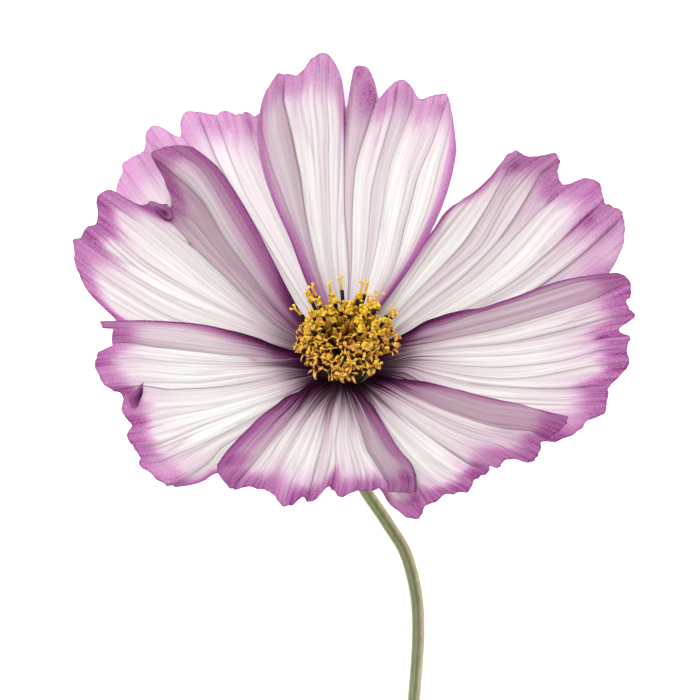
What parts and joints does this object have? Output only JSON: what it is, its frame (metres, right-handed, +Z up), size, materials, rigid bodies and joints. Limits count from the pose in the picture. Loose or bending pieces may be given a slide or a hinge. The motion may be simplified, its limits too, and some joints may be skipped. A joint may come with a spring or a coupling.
{
  "type": "cosmos flower",
  "caption": "Open cosmos flower with scalloped white petals edged in pink-purple, a domed yellow disc, narrow green bracts and a curved cut stem, lying on a flat surface.",
  "frame": {"origin": "middle of the underside of the flower's box, on the surface that the flower lies on", "axes": "+Z up from the surface, +Y from the cut end of the stem towards the head, +X to the right as seen from above"},
  "size_m": [0.0814, 0.1604, 0.059],
  "materials": {
    "petal": "soft and satiny, white with pink-purple rims and dark bases",
    "floret": "matt yellow with brown anthers",
    "stem": "ribbed green",
    "receptacle": "satin green",
    "inner_bract": "thin and papery, yellow-green",
    "outer_bract": "satin green"
  },
  "bodies": {
    "root": {"stem": "stem", "receptacle": "receptacle", "petal_top": "petal", "petal_upper_right": "petal", "petal_right": "petal", "petal_lower_right": "petal", "petal_bottom": "petal", "petal_lower_left": "petal", "petal_upper_left": "petal", "petal_back_left": "petal", "disc_florets_1": "floret", "disc_florets_2": "floret", "disc_florets_3": "floret", "disc_florets_4": "floret", "disc_florets_5": "floret", "inner_bract_1": "inner_bract", "inner_bract_2": "inner_bract", "inner_bract_3": "inner_bract", "inner_bract_4": "inner_bract", "inner_bract_5": "inner_bract", "inner_bract_6": "inner_bract", "inner_bract_7": "inner_bract", "inner_bract_8": "inner_bract", "outer_bract_1": "outer_bract", "outer_bract_2": "outer_bract", "outer_bract_3": "outer_bract", "outer_bract_4": "outer_bract", "outer_bract_5": "outer_bract", "outer_bract_6": "outer_bract", "outer_bract_7": "outer_bract", "outer_bract_8": "outer_bract"}
  },
  "joints": []
}
